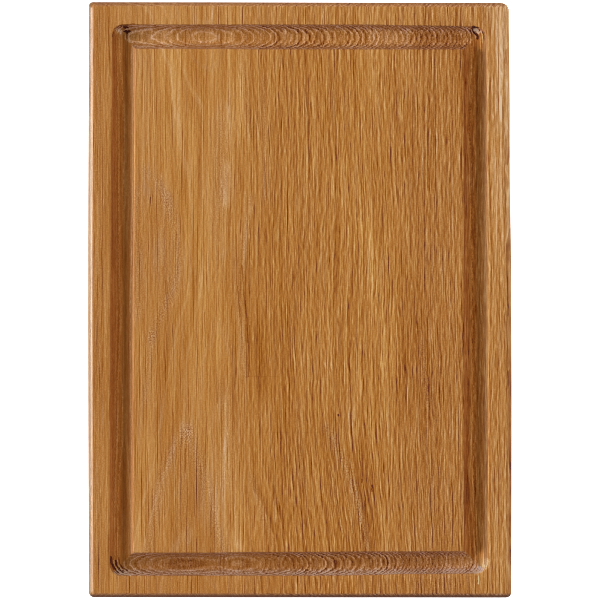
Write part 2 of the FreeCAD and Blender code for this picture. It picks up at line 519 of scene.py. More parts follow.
    def marks(self, place, table):
        """Sum of the marks in a table of (change of tone, half width, [(x, y)])."""
        total = 0.0
        for change, half_width, path in table:
            mark = 0.0
            for start, end in zip(path, path[1:]):
                mark = self.math("MAXIMUM", mark, self.stroke(place, start, end, half_width))
            total = mark * change + total
        return total


def linear(*code):
    """Linear colour of an sRGB colour given in steps of 0 to 255."""
    values = []
    for item in code:
        share = item / 255
        values.append(share / 12.92 if share <= 0.04045 else ((share + 0.055) / 1.055) ** 2.4)
    return tuple(values)


# What the studio's light makes of the wood: its share of the colour, and the sheen on top.
LIGHT_SHARE = 0.885
SHEEN = 0.0147
SPECULAR_LEVEL = 0.3


def wood(*code):
    """Colour of the wood itself that shows as the given sRGB colour in the studio's light."""
    return tuple(max((value - SHEEN) / LIGHT_SHARE, 0.002) for value in linear(*code))


# Tone of the wood to its colour. Tone 0.5 is the board's mean.
TONES = [
    (0, wood(104, 46, 4)),
    (0.15, wood(137, 76, 20)),
    (0.32, wood(158, 98, 41)),
    (0.5, wood(177, 119, 60)),
    (0.68, wood(194, 141, 83)),
    (0.83, wood(208, 160, 104)),
    (1, wood(222, 182, 134)),
]
# The same tones where open pores make the wood paler and greyer, and where painted sheen lies on the
# grooves' left-facing walls.
PALE_TONES = [
    (0, wood(98, 51, 22)),
    (0.15, wood(131, 78, 38)),
    (0.32, wood(153, 100, 58)),
    (0.5, wood(173, 121, 75)),
    (0.68, wood(191, 144, 98)),
    (0.83, wood(207, 166, 124)),
    (1, wood(222, 191, 155)),
]
# What the oil and the cutter make of the colour in each part of the board, and painted light and
# shade.
GOLDEN_TINT = (1, 0.97, 0.7)
SIDE_GROOVE_TINT = (0.86, 0.70, 0.42)
BACK_GROOVE_TINT = (1.06, 1.09, 1.34)
FRONT_GROOVE_TINT = (0.87, 0.84, 0.97)
END_TINT = (0.78, 0.72, 0.85)
# Painted light and shade from here to the corner slope tint: a shadow line along the side grooves'
# bottoms, shade on the left side face and on the groove walls that face away from the low left light,
# light on the slopes beside them, sheen on the walls that face the left, and a highlight and shade at
# the right groove's front corner.
SHADOW_LINE_TINT = (0.82, 0.84, 0.86)
LEFT_SIDE_SHADE_TINT = (0.62, 0.58, 0.54)
LEFT_WALL_SHADE_TINT = (0.84, 0.73, 0.68)
LEFT_SLOPE_LIGHT_TINT = (1.15, 1.15, 1.25)
RIGHT_SHEEN_WALL_TINT = (0.61, 0.7, 0.9)
LEFT_SHEEN_WALL_TINT = (0.94, 1.14, 1.8)
CORNER_HIGHLIGHT_TINT = (1.02, 1.12, 1.5)
CORNER_SLOPE_SHADE_TINT = (0.7, 0.79, 1.05)
TORN_TINT = (0.95, 1.04, 0.94)
PALE_MARK_TINT = (0.86, 0.96, 0.82)
RIGHT_GROOVE_TINT = (1.08, 1.12, 1.18)
# Painted shade on the groove's eased rims that face the left, which the low left light makes too
# bright.
LEFT_FACING_SHADE_TINT = (0.9, 0.89, 0.82)
INNER_WALL_TINT = (0.78, 0.73, 0.58)
OUTER_WALL_TINT = (0.82, 0.75, 0.62)
# For each side: where it is, how far in its bevel's tint begins to fade, that tint and the polish.
# The tints are partly the oil and partly painted shade: the left one holds back the strong low light
# so that the sheen shows white, and the front one darkens the bevel that faces away from the lights.
EDGE_TINTS = [
    (("x", -1, HALF_WIDTH), 2.4, (0.56, 0.69, 0.93), 0.32),
    (("x", 1, HALF_WIDTH), 0.6, (0.7, 0.62, 0.5), -0.03),
    (("y", 1, HALF_LENGTH), 0.6, (0.68, 0.62, 0.46), -0.12),
    (("y", -1, HALF_LENGTH), 0.9, (0.28, 0.2, 0.13), -0.12),
]

# The trunk's pith lies under the board. Year rings are counted from it, 3.3 mm for each step.
PITH_X = -44.5
PITH_DEPTH = 150.0
RING_WIDTH = 3.3
# Rings as they come up at the upper face: (ring, [(x, y) of places on it]).
RINGS = [
    (0.05, [(-45, 103), (-45, 76), (-46, 50)]),
    (0.05, [(-43, -59), (-43, -82), (-43, -106), (-45, -129), (-46, -148)]),
    (0.05, [(-59, 155)]),
    (-0.15, [(-76, -155), (-35, -155)]),
    (0.3, [(-48, -155)]),
    (1, [(-36, 120), (-33, 103), (-28, 88), (-26, 68), (-32, 40), (-35, 9), (-33, -30),
         (-32, -49), (-31, -77), (-31, -108), (-19, -132), (-14, -148)]),
    (1, [(-53, 115), (-56, 88), (-55, 59), (-56, 29), (-61, -11), (-66, -46), (-67, -79),
         (-76, -93), (-81, -108), (-88, -136)]),
    (2, [(-25, 141), (-23, 125), (-20, 88), (-20, 50), (-20, 9), (-23, -17), (-22, -59),
         (-16, -94), (-9, -124), (-3, -148)]),
    (2, [(-91, 74), (-79, 62), (-72, 36), (-70, 19), (-73, 9), (-78, -7), (-82, -18),
         (-88, -46), (-92, -65), (-93, -99)]),
    (2.65, [(-82, 44), (-82, 23)]),
    (2.1, [(-92, 50), (-92, 23)]),
    (2.2, [(-97, 118), (-103, 147), (-88, 141)]),
    (3, [(-103, 0), (-107, -59), (-111, -118)]),
    (4, [(-115, 118), (-114, 0), (-116, -88)]),
    (5.5, [(-124, 118), (-124, 0), (-124, -118)]),
    (4, [(-8, 141), (-5, 98), (-5, 65), (-5, 29), (-5, -2), (-2, -49), (-2, -79), (2, -112),
         (7, -148)]),
    (6, [(11, 141), (12, 135), (13, 100), (13, 58), (12, 23), (12, -12), (14, -41), (15, -69),
         (18, -99), (24, -128), (27, -148)]),
    (7, [(21, 144), (21, 121), (24, 82), (26, 52), (25, 18), (23, -18), (24, -47), (25, -69),
         (28, -99), (33, -128), (36, -148)]),
    (8, [(27, 141), (28, 107), (30, 68), (32, 36), (33, 19), (31, -20), (32, -65), (34, -93),
         (39, -118), (45, -148)]),
    (10, [(40, 141), (41, 93), (45, 62), (46, 23), (45, -18), (46, -59), (50, -100), (55, -148)]),
    (12, [(51, 141), (52, 82), (54, 52), (56, -1), (57, -30), (58, -59), (60, -100), (65, -148)]),
    (14, [(64, 141), (65, 98), (67, 29), (68, -18), (70, -59), (71, -100), (74, -148)]),
    (15, [(71, 141), (72, 58), (72, 9), (75, -40), (75, -59), (77, -100), (80, -148)]),
    (20, [(102, 153), (103, 0), (104, -153)]),
    (24, [(124, 170), (124, 0), (124, -171)]),
]
# To the right of the pith the fibres run along the rings from this one on. At these places in the
# left of the board they are straight.
FIRST_FIBRE_RING = 4
STRAIGHT_FIBRES = [(x, y) for x in (-124, -90, -60, -35) for y in (-175, -90, 0, 90, 175)]
# Rings and fibres are bent like a thin plate: the reach of a push across and along the grain, how
# little the plate gives way, and the length that its tilt is counted in.
BEND_X = 20.0
BEND_Y = 45.0
STIFFNESS = 0.25
PLATE_UNIT = 100.0
LEAST_SQUARE = 1e-12

# Broad zones, as drawn: (brighter, paler, half its width, [(x, y) along it]).
ZONES = [
    (0.10, -0.15, 16, [(-80, 140), (-77, 117), (-75, 95)]),
    (0.06, -0.1, 12, [(-44, 145), (-42, 118)]),
    (0.07, 0, 10, [(-40, 100), (-40, 80), (-42, 60)]),
    (0, 0.45, 5.5, [(-46, 103), (-46, 88), (-46, 65), (-50, 44)]),
    (0.08, -0.3, 12, [(-60, 35), (-58, 10), (-54, -22)]),
    (0.07, 0, 8, [(-46, -52), (-43, -80), (-42, -110), (-38, -146)]),
    (0.07, -0.1, 5, [(-91, -85), (-90, -110), (-94, -143)]),
    (0.04, -0.2, 8, [(28, 145), (29, 110), (31, 60)]),
    (0.08, -0.3, 8, [(39, 38), (45, 15), (48, -5), (48, -35)]),
    (0.04, -0.2, 6, [(44, -45), (46, -70)]),
    (0.03, 0, 5, [(4, 130), (5, 60)]),
    (-0.12, -0.5, 4.5, [(-23.5, -22), (-23, -35), (-23, -50)]),
    (-0.08, 0, 4, [(-35, 18), (-34, 0)]),
    (-0.05, -0.1, 12, [(-16, 40), (-12, 0), (-10, -40), (-9, -80), (-8, -145)]),
    (-0.05, 0, 5, [(60, 30), (60, 0), (62, -60)]),
    (-0.10, 0, 6, [(68, 0), (71, -30), (74, -58)]),
    (-0.08, 0, 7, [(15, -85), (22, -110), (26, -145)]),
    (-0.13, 0, 5, [(33, -95), (37, -115), (40, -143)]),
    (-0.08, 0, 4, [(42, -105), (43, -114)]),
    (-0.05, 0, 5, [(14, 145), (15, 100)]),
    (-0.06, 0, 4, [(65, 120), (65, 85)]),
    (-0.04, 0.1, 14, [(72, -75), (72, -145)]),
    (-0.05, 0.3, 7, [(-80, 53), (-80, 15)]),
    (-0.04, 0.25, 7, [(-68, -100), (-68, -146)]),
    (-0.03, 0.2, 22, [(85, 145), (85, -146)]),
    (-0.07, 0, 4, [(72, 154.5), (95, 154.5)]),
    (0.04, 0.12, 6, [(-100, 170), (110, 170)]),
    (0.07, 0.15, 7, [(118, 165), (118, 120)]),
    (0.06, 0.1, 7, [(118, 165), (118, 80)]),
    (0.05, 0.1, 7, [(118, 165), (118, 30)]),
    (0.06, 0.2, 7, [(118, 165), (118, -165)]),
    (-0.05, 0.3, 5, [(-119, 165), (-119, -165)]),
    (-0.04, 0.22, 6, [(-100, -170), (100, -170)]),
]
# In the same way, where year rings come up and leave the wood pale, and at the end the darker and
# brighter parts of the back and front grooves. These are as wide along the grain as across it.
LOOPS = [
    (0, 0.5, 3.8, [(-91, 76), (-84, 71), (-78, 60), (-72, 42), (-70, 22), (-74, 5), (-82, -10),
                     (-87, -22)]),
    (0, 0.35, 3, [(-87, -22), (-89, -40), (-91, -60)]),
    (0, 0.45, 4, [(-96, 65), (-95, 20), (-95, -8)]),
    (0, 0.4, 2.6, [(-29, 60), (-33, 30), (-36, 5), (-34, -22), (-32, -45)]),
    (0, 0.35, 2, [(-34, 145), (-31, 115), (-29, 95)]),
    (0, 0.35, 2, [(-21, 130), (-20, 60)]),
    (0, 0.5, 4, [(-66, -76), (-75, -88), (-82, -105), (-86, -130), (-89, -146)]),
    (0, 0.5, 4.5, [(-66, -76), (-59, -95), (-54, -112), (-50, -130), (-46, -146)]),
    (0, 0.3, 6, [(-44, -50), (-42, -80), (-44, -105)]),
    (0, 0.35, 2.5, [(-28, -105), (-22, -125), (-15, -146)]),
    (0, 0.35, 2.5, [(-1, -60), (0, -105)]),
    (0, 0.55, 3, [(16, -75), (26, -95), (34, -118), (40, -146)]),
    (0, 0.3, 2, [(72, -25), (75, -60)]),
    (0.07, 0.12, 5.5, [(36, 154), (58, 154)]),
    (-0.07, 0, 5.5, [(68, 154), (96, 154)]),
    (-0.06, 0.1, 5.5, [(-88, -155), (-50, -155)]),
    (-0.04, 0, 5.5, [(-30, -155), (-5, -155)]),
    (0.05, 0.1, 4, [(28, -159), (60, -158)]),
    (0.1, 0.1, 4, [(84, -158), (104, -157)]),
]
# The broad zones run out more slowly along the grain than across it.
RUN_OUT = 0.45

# Checks and chips at the groove's corners, other marks on the face, and a painted highlight at its
# front right corner: (change of tone, half its width, [(x, y) along it]).
MARKS = [
    (-0.95, 0.85, [(-103.1, 160.3), (-101.3, 160.3)]),
    (-0.95, 0.75, [(-103.1, 158.1), (-100.1, 158.1)]),
    (-0.9, 0.9, [(-101.6, 157.9), (-101.6, 157.2)]),
    (-0.6, 0.5, [(-101.6, 157), (-101.6, 153.4)]),
    (-0.35, 0.4, [(-110, 154.8), (-108.9, 159), (-105.5, 161.3), (-97, 162)]),
    (0.25, 1.7, [(-107.3, 157.8), (-106.2, 157.9)]),
    (-0.9, 0.65, [(101.4, 160.3), (104.6, 159.9)]),
    (-0.95, 0.5, [(101.3, 159.3), (102.85, 156.8), (104.6, 155.6)]),
    (-0.9, 0.75, [(104.8, 155.2), (104.5, 153.6)]),
    (0.85, 1, [(103.3, 158.6), (104.8, 157.6)]),
    (-0.6, 0.35, [(105.7, 158.9), (104.9, 157.6)]),
    (-0.55, 0.4, [(100.4, 158.3), (101, 156.5), (100.9, 154.3)]),
    (-0.5, 0.4, [(107.2, 157.6), (108, 155.6), (108.1, 153.6)]),
    (0.35, 0.4, [(106.2, 158.4), (107.1, 155.5), (107.2, 151)]),
    (-0.75, 0.65, [(-111, -151), (-110.5, -155.2), (-109.2, -157.7), (-107, -159.9)]),
    (-0.8, 0.7, [(-108.5, -153.5), (-108.1, -156.3), (-106.2, -158.5), (-103.8, -159.8)]),
    (-0.4, 0.55, [(-106.7, -151.5), (-106.2, -155.2), (-104.4, -157.7), (-101.5, -159)]),
    (0.45, 0.4, [(-109.6, -153.5), (-109.2, -156.4), (-107.4, -158.9), (-104.5, -160.9),
                 (-99.5, -161.6)]),
    (0.3, 0.35, [(-107.4, -153.5), (-107.1, -155.8), (-105.2, -158.2), (-101.8, -159.6)]),
    # Painted highlight: the pale patch where the light catches the groove's front right corner.
    (0.25, 2.4, [(103.5, -159.3), (106.5, -158.2), (109, -156), (109.8, -153.5)]),
    (0.9, 0.45, [(104.6, -162.2), (104.7, -166.5)]),
    (-0.35, 0.3, [(103.9, -162), (104, -166)]),
    (-0.3, 0.4, [(-67.4, 158.5), (-67.3, 150)]),
    (-0.2, 0.35, [(-60.3, 157), (-60.4, 150)]),
    (-0.3, 0.4, [(-46.3, 158), (-46.5, 149.5)]),
    (-0.3, 0.4, [(-15.2, 156.5), (-15.4, 150.5)]),
    (-0.3, 0.45, [(-46.7, -149.8), (-46.9, -161)]),
    (-0.25, 0.4, [(-44.6, -149.8), (-44.8, -161)]),
    (-0.7, 0.55, [(22.4, -67.5), (22.5, -67.9)]),
    (-0.5, 0.5, [(42.2, -108.9), (42.1, -112.4)]),
    (-0.4, 0.45, [(36.6, -105.2), (36.5, -107)]),
    (-0.3, 0.45, [(-34, 20), (-33, 5), (-31, -12), (-30.5, -25)]),
    (-0.28, 0.4, [(-36.5, 8), (-35, -10)]),
    (-0.28, 0.4, [(-29.5, -15), (-30, -45)]),
    (0.2, 0.4, [(16.6, -93.6), (25.1, -136.5)]),
    (0.2, 0.4, [(24.2, -93.6), (31.6, -138.8)]),
    (0.18, 0.4, [(29.5, -93.6), (36, -131.2)]),
    (-0.08, 0.3, [(-34.6, -44.8), (-12.3, -44.8)]),
    (-0.07, 0.3, [(-22.3, -77.7), (11.9, -77.7)]),
]
# What the deepest checks look like: little light comes back from them.
CHECK_TINT = (0.35, 0.3, 0.5)


def plain_ring(x):
    """Ring number at the upper face if the trunk were a true cylinder."""
    return (np.hypot(x - PITH_X, PITH_DEPTH) - PITH_DEPTH) / RING_WIDTH


def bend(offset_x, offset_y):
    """Kernel of a thin plate: how far one pin's push reaches."""
    square = (offset_x / BEND_X) ** 2 + (offset_y / BEND_Y) ** 2
    return square * np.log(np.maximum(square, LEAST_SQUARE))


def thin_plate(pins, pushes, places):
    """Height at the places of a thin plate that is pushed to the given heights at its pins."""
    count = len(pins)
    kernel = bend(pins[:, None, 0] - pins[None, :, 0], pins[:, None, 1] - pins[None, :, 1])
    kernel += np.eye(count) * STIFFNESS
    flat = np.column_stack([np.ones(count), pins / PLATE_UNIT])
    system = np.block([[kernel, flat], [flat.T, np.zeros((3, 3))]])
    weights = np.linalg.solve(system, np.concatenate([pushes, np.zeros(3)]))
    reach = bend(places[:, None, 0] - pins[None, :, 0], places[:, None, 1] - pins[None, :, 1])
    tilt = np.column_stack([np.ones(len(places)), places / PLATE_UNIT])
    return reach @ weights[:count] + tilt @ weights[count:]


def brush(path, width, places, stretch=1):
    """How near the places lie to a drawn line: 1 on it, falling off within its half width."""
    path = np.array(path, float)
    nearest = np.full(len(places), np.inf)
    for start, end in zip(path, path[1:]):
        along = end - start
        share = np.clip((places - start) @ along / (along @ along), 0, 1)
        gap = (places - start - share[:, None] * along) * (1, stretch)
        nearest = np.minimum(nearest, (gap ** 2).sum(axis=1))
    return np.exp(-nearest / (width * width))


def add_grain(mesh):
    """Stores for each vertex its fibre (mm across the board) and ring number, and the broad figure."""
    count = len(mesh.vertices)
    places = np.empty(count * 3)
    mesh.vertices.foreach_get("co", places)
    places = places.reshape(count, 3)[:, :2] / METRES

    ring_pins = np.array([point for _, line in RINGS for point in line], float)
    numbers = np.array([number for number, line in RINGS for _ in line], float)
    swell = thin_plate(ring_pins, numbers - plain_ring(ring_pins[:, 0]), places)
    ring = plain_ring(places[:, 0]) + swell

    fibre_pins = list(STRAIGHT_FIBRES)
    shifts = [0] * len(fibre_pins)
    for number, line in RINGS:
        middle = sum(x for x, _ in line) / len(line)
        if number >= FIRST_FIBRE_RING and middle > PITH_X:
            fibre_pins += line
            shifts += [middle - x for x, _ in line]
    fibre = places[:, 0] + thin_plate(np.array(fibre_pins, float), np.array(shifts), places)

    grain = np.column_stack([fibre, ring, np.zeros(count)])
    mesh.attributes.new("grain", "FLOAT_VECTOR", "POINT").data.foreach_set("vector", grain.ravel())

    figure = np.zeros((count, 3))
    strokes = [(*zone, RUN_OUT) for zone in ZONES] + [(*loop, 1) for loop in LOOPS]
    for brighter, paler, width, path, stretch in strokes:
        shade = brush(path, width, places, stretch)
        figure[:, 0] += brighter * shade
        figure[:, 1] += paler * shade
    mesh.attributes.new("figure", "FLOAT_VECTOR", "POINT").data.foreach_set("vector", figure.ravel())


# Lines, noises and zones of the wood. Sizes of a noise are those of its features, in mm across
# and along the grain. A zone or a threshold is (begins, whole), and a band is (begins, whole,
# fades, ends).

MILLIMETRES = 1000.0
END_GRAIN = (0.1, 0.6)

SWAY = (18, 60)
RIPPLE = (5, 22)
WANDER = (2.4, 8)
SERRATION = (1.3, 1.3)
# How far the sway and the ripple push a ring, in rings.
SWAY_IN_RINGS = 0.04
RIPPLE_IN_RINGS = 0.02
SERRATION_IN_RINGS = 0.07
# How far the ripple and the wander push the grain's lines, in mm.
RIPPLE_ACROSS = 0.14
WANDER_ACROSS = 0.03
WANDER_ACROSS_RIGHT = 0.07
# The right of the board has the coarser grain.
RIGHT_ZONE = (-62, 10)
PANEL_END = (106, 112)
MIDDLE_BAND = (-95, -65, 50, 75)

# The groove: past its outer rim, how deep it begins, its mitre line and the board's upper part.
PAST_GROOVE = (8.7, 9.2)
GROOVE_START = (0.1, 0.8)
MITRE = (-0.8, 0.8)
UPPER_PART = (-9, -8)
TORN_ZONE = (GROOVE_Y + 2.5, GROOVE_Y + 5.5)
# A side groove's wall gets painted sheen where it faces to the left by this much.
SHEEN_WALL = (0.45, 0.85)

# Each counted ring holds this many years. A year's parts are shares of its width.
YEARS_IN_RING = 2.0
PALE_LINE = (0, 0.06, 0.1, 0.3)
POROUS_BAND = (0.1, 0.25, 0.4, 0.8)
BROWN_BAND = (0.12, 0.3, 0.4, 0.75)
# Where the surface runs along the rings, their lines would be endlessly wide but for this.
LEAST_CUT = 0.02
# A crisp line in the groove: its edge in mm, and how much of it shows.
CRISP_EDGE = (0.15, 0.7)
CRISP_SHARE = 0.3
CRISP_FADING = 0.55
STEEP_WALL = (0.02, 0.35)

# Noises that run along the grain: size across, along, and the shift that sets them apart.
STREAKS = {
    "patchy": (2.2, 26, 9),
    "grit": (0.6, 0.9),
    "streak": (0.9, 60),
    "strand": (1.6, 90),
}
TWINS = {"fine": (0.8, 5), "hair": (1, 15)}
BAND = (5, 90)
# Rows of open pores show as long thin dark lines that start and stop, with bright ones between:
# spacing, length and half width in mm, the share of cells that have one (everywhere, more in
# porous wood, more on the right) and the seed.
ROWS = {
    "thread": (3.6, 60, 0.42, (0.45, 0.4, 0), 3),
    "short_thread": (2.3, 26, 0.36, (0.25, 0.3, 0.3), 11),
    "close_thread": (1.3, 14, 0.32, (0.25, 0, 0.4), 29),
    "bright_thread": (2, 20, 0.4, (0.3, 0, 0.3), 53),
}
# The rows lean with the depth, so that they don't stand upright on the sides.
ROW_LEAN = 0.8
# Spots: the noise's sizes and shift, how many more there are on the right, and where the noise
# makes one.
SPOTS = {
    "slit": ((0.75, 9, -30), 0.3, (1.4, 2.3)),
    "fleck": ((0.7, 5, -50), 0.4, (1.6, 2.5)),
    "pale_streak": ((1.4, 45, 70), 0, (0.4, 2.2)),
}

# What makes up the tone, the paleness and the relief: each thing, its weight everywhere, and how
# much is added to that weight by the share of other things.
PLAIN_TONE = 0.532
TONE = [
    ("brighter", 1, ("band", 0.3), ("strand", 0.3)),
    ("grit", 0.03, ("pale_panel", 0.22), ("end_groove", 0.04)),
    ("fine", 0.03, ("right", 0.03)),
    ("hair", 0.025, ("right", 0.05)),
    ("streak", 0.03, ("right", 0.01)),
    ("strand", 0.03),
    ("band", 0.038),
    ("lucky_line", 0.08, ("end_grain", 0.3)),
    ("lucky_pores", -0.05, ("right", -0.11), ("end_grain", -0.1)),
    ("torn_line", 0.03, ("left", 0.1), ("lucky", 0.4)),
    ("brown", -0.06, ("crosswise", -0.16), ("left_crosswise", -0.08)),
    ("pits", -0.25),
    ("rows", 1),
    ("bright_thread", 0.1, ("right", 0.09)),
    ("slit", -0.05, ("right", -0.08)),
    ("fleck", 0.15),
    ("marks", 1),
    ("torn", 0.12, ("right", 0.1)),
]
ROW_TONES = [("thread", -0.3), ("short_thread", -0.25), ("close_thread", -0.14, ("right", -0.1))]
PALENESS = [
    ("patchy_line", 0, ("left", 0.3), ("end_grain", 0.4)),
    ("open_pores", 0.9, ("patchy", 0.3), ("hair", 0.25)),
    ("pale_streak", 0.5),
    ("torn", 0.9),
    # Painted sheen: the side grooves' walls that face the left are paler.
    ("fuzzy", 0.8),
    ("crisp", 0.3),
    ("chipped", 1.6),
]
RELIEF = [("grit", 0.04), ("fine", 0.05), ("hair", 0.06), ("close_thread", -0.25)]
# What the groove and end grain take from the dark rows.
ROWS_IN_GROOVE = 0.5
ROWS_ON_END = 0.7
# Crisp lines are this much stronger where the wood is torn.
TORN_GAIN = 0.5
# The pale lines are this strong, and change this much from patch to patch.
LINE_SHARE = 0.8
LINE_PATCHES = 0.4
GOLDEN = 0.16
GOLDEN_MIDDLE = 0.22

# How far the marks' edges are ragged, across and along the grain, in mm.
RAGGED_ACROSS = [("ripple", 0.15), ("grit", 0.06), ("serration", 0.06)]
RAGGED_ALONG = 0.12
MARK_SHARE = 0.92
MARK_GRIT = 0.2
PALE_MARK_SHARE = 1.5
# Share of the checks' tint: the mark's tone times the gain, plus the offset. Faint marks have none.
CHECK_GAIN = -1.6
CHECK_OFFSET = -0.7

# The groove's tints by the distance from its middle in mm: its oil, and painted light and shade where
# its walls face towards or away from the low left light.
END_OIL = 0.3
LEFT_WALL = (-4.6, -2.4)
LEFT_SLOPE = (-3.4, -1.8, 0.4, 1.4)
SHADOW_LINE = (0.3, 2.2)
# The painted shadow line lies to the right of the middle, in the right groove by more and in the left
# by less.
SHADOW_LINE_SHIFT = 1.6
SHADOW_LINE_SPREAD = 0.3
INNER_WALL = (-6.2, -2.4)
OUTER_WALL = (2.8, 6)
FRONT_CORNER = (149, 154)
CORNER_SLOPE = (0.8, 2, 3.6, 4.6)
LEFT_FACING = (0.1, 0.45)
LEFT_FACING_DEPTH = (-1.1, -0.5)

UPPER_EDGE = (-BEVEL - 0.5, -BEVEL + 0.3)
EDGE_END = BEVEL + 0.3
LEFT_SIDE = (HALF_WIDTH - 2.5, HALF_WIDTH - 1)

ROUGHNESS = 0.55
GROOVE_ROUGHNESS = 0.27
BUMP_STRENGTH = 0.4
BUMP_DEPTH = 0.0002


def make_oak():
    graph = Graph("oiled_oak")
    at = read_point(graph)
    find_grain(graph, at)
    find_groove(graph, at)
    find_years(graph, at)
    draw_streaks(graph, at)
    weigh_lines(graph, at)
    colour = wood_colour(graph, at)
    for share, tint in groove_tints(graph, at):
        colour = graph.shade(colour, share, tint)
    colour, polished = oil_and_shade_edges(graph, at, colour)
    relief = weigh(at, RELIEF)
    bump = {"Strength": BUMP_STRENGTH, "Distance": BUMP_DEPTH, "Height": relief}
    graph.show(graph.node("ShaderNodeBsdfPrincipled", {
        "Base Color": colour,
        "Roughness": at.groove * GROOVE_ROUGHNESS + ROUGHNESS - polished,
        "Specular IOR Level": SPECULAR_LEVEL,
        "Normal": graph.node("ShaderNodeBump", bump),
    }))
    return graph.material


def read_point(graph):
    """What the material is told of each point: its place in mm, its grain and where it faces."""
    at = SimpleNamespace()
    x, y, z = graph.split(graph.node("ShaderNodeTexCoord", {}, "Object"))
    at.x = x * MILLIMETRES
    at.y = y * MILLIMETRES
    at.z = z * MILLIMETRES - THICKNESS
    grain = graph.node("ShaderNodeAttribute", {}, "Vector", attribute_name="grain")
    at.fibre, at.ring, _ = graph.split(grain)
    figure = graph.node("ShaderNodeAttribute", {}, "Vector", attribute_name="figure")
    at.brighter, at.paler, _ = graph.split(figure)
    facing = graph.node("ShaderNodeNewGeometry", {}, "Normal")
    at.facing_x, at.facing_y, at.facing_z = graph.split(facing)
    at.facing_end = at.facing_y * at.facing_y
    at.end_grain = graph.step(at.facing_end, *END_GRAIN)
    return at


def find_grain(graph, at):
    """The ring that each point lies in, and the place across the board that its lines come from."""
    # Deeper in the plank the same x and y lie nearer to the pith.
    off_pith = (at.x - PITH_X) * (at.x - PITH_X)
    at.below = at.z + PITH_DEPTH
    at.deep = graph.math("SQRT", off_pith + at.below * at.below)
    face = graph.math("SQRT", off_pith + PITH_DEPTH * PITH_DEPTH)
    place = (at.x, at.y, at.z)
    sway = graph.streaks(place, *SWAY, detail=1)
    at.ripple = graph.streaks(place, *RIPPLE)
    pushed = sway * SWAY_IN_RINGS + at.ripple * RIPPLE_IN_RINGS
    at.ring = at.ring + (at.deep - face) / RING_WIDTH + pushed
    at.right = graph.step(at.x, *RIGHT_ZONE)
    at.left = 1.0 - at.right
    wander = graph.streaks(place, *WANDER)
    straight = at.fibre * 0.5 + at.x * 0.5
    pushed = wander * (at.right * WANDER_ACROSS_RIGHT + WANDER_ACROSS)
    at.across = straight + at.ripple * RIPPLE_ACROSS + pushed


def find_groove(graph, at):
    """Where the groove is, which parts of it cut end grain, and which of its walls face the left and
    get painted sheen.
    """
    off_x = abs(at.x) - GROOVE_X
    at.off_y = abs(at.y) - GROOVE_Y
    at.inside = graph.fall(off_x, *PAST_GROOVE) * graph.fall(at.off_y, *PAST_GROOVE)
    at.is_upper = graph.step(at.z, *UPPER_PART)
    at.groove = graph.step(-at.z, *GROOVE_START) * at.inside * at.is_upper
    at.crosswise = graph.step(at.off_y - off_x, *MITRE)
    at.end_groove = at.groove * at.crosswise
    at.side_groove = at.groove * (1.0 - at.crosswise)
    at.torn = at.end_groove * graph.step(-at.y, *TORN_ZONE)
    at.fuzzy = at.side_groove * graph.step(-at.facing_x, *SHEEN_WALL)


def find_years(graph, at):
    """The lines and bands of each year, and those that only show in the groove."""
    # How steeply the surface cuts the rings, so that in the groove their lines keep one width.
    lean = (at.x - PITH_X) / at.deep * at.facing_x + at.below / at.deep * at.facing_z
    cut = graph.math("SQRT", graph.math("MAXIMUM", 1.0 - lean * lean, LEAST_CUT))
    at.serration = graph.streaks((at.x, at.y, at.z), *SERRATION)

    # Each year is a pale line, a porous brown band and smooth late wood.
    years = (at.ring + at.serration * cut * at.groove * SERRATION_IN_RINGS) * YEARS_IN_RING
    year = graph.math("FLOOR", years)
    season = graph.math("FRACT", years)
    at.pale_line = graph.window(season, *PALE_LINE)
    at.porous = graph.window(season, *POROUS_BAND)
    at.luck = graph.speck(year)
    off_line = abs(graph.math("FRACT", years + 0.5) - 0.5) * (RING_WIDTH / YEARS_IN_RING) / cut
    steep = graph.step(at.facing_end, *STEEP_WALL)
    fading = 1.0 - at.right * (1.0 - steep) * CRISP_FADING
    showing = (at.crosswise * (1.0 - CRISP_SHARE) + CRISP_SHARE) * fading
    at.crisp = at.groove * graph.fall(off_line, *CRISP_EDGE) * showing
    at.brown = at.groove * graph.window(season, *BROWN_BAND) * graph.speck(year + 0.3)


def draw_streaks(graph, at):
    """Noises, rows of pores and spots that run along the grain."""
    place = (at.across, at.y, at.z)
    for name, sizes in STREAKS.items():
        setattr(at, name, graph.streaks(place, *sizes))
    for name, sizes in TWINS.items():
        setattr(at, name, graph.twin(place, *sizes))
    at.band = graph.streaks(place, *BAND, detail=1)

    row_place = at.across + at.z * ROW_LEAN
    for name, (spacing, length, half_width, shares, seed) in ROWS.items():
        share, in_porous, on_right = shares
        if in_porous:
            share = at.porous * in_porous + share
        if on_right:
            share = at.right * on_right + share
        row = graph.dashes(row_place, at.y, spacing, length, half_width, share, seed)
        setattr(at, name, row)

    for name, (sizes, on_right, limits) in SPOTS.items():
        spot = graph.streaks(place, *sizes)
        if on_right:
            spot = at.right * on_right + spot
        setattr(at, name, graph.step(spot, *limits))


def weigh(at, table, total=0):
    """Adds to the total each thing in a table by its weight."""
    for name, weight, *extras in table:
        for other, extra in extras:
            weight = getattr(at, other) * extra + weight
        total = getattr(at, name) * weight + total
    return total


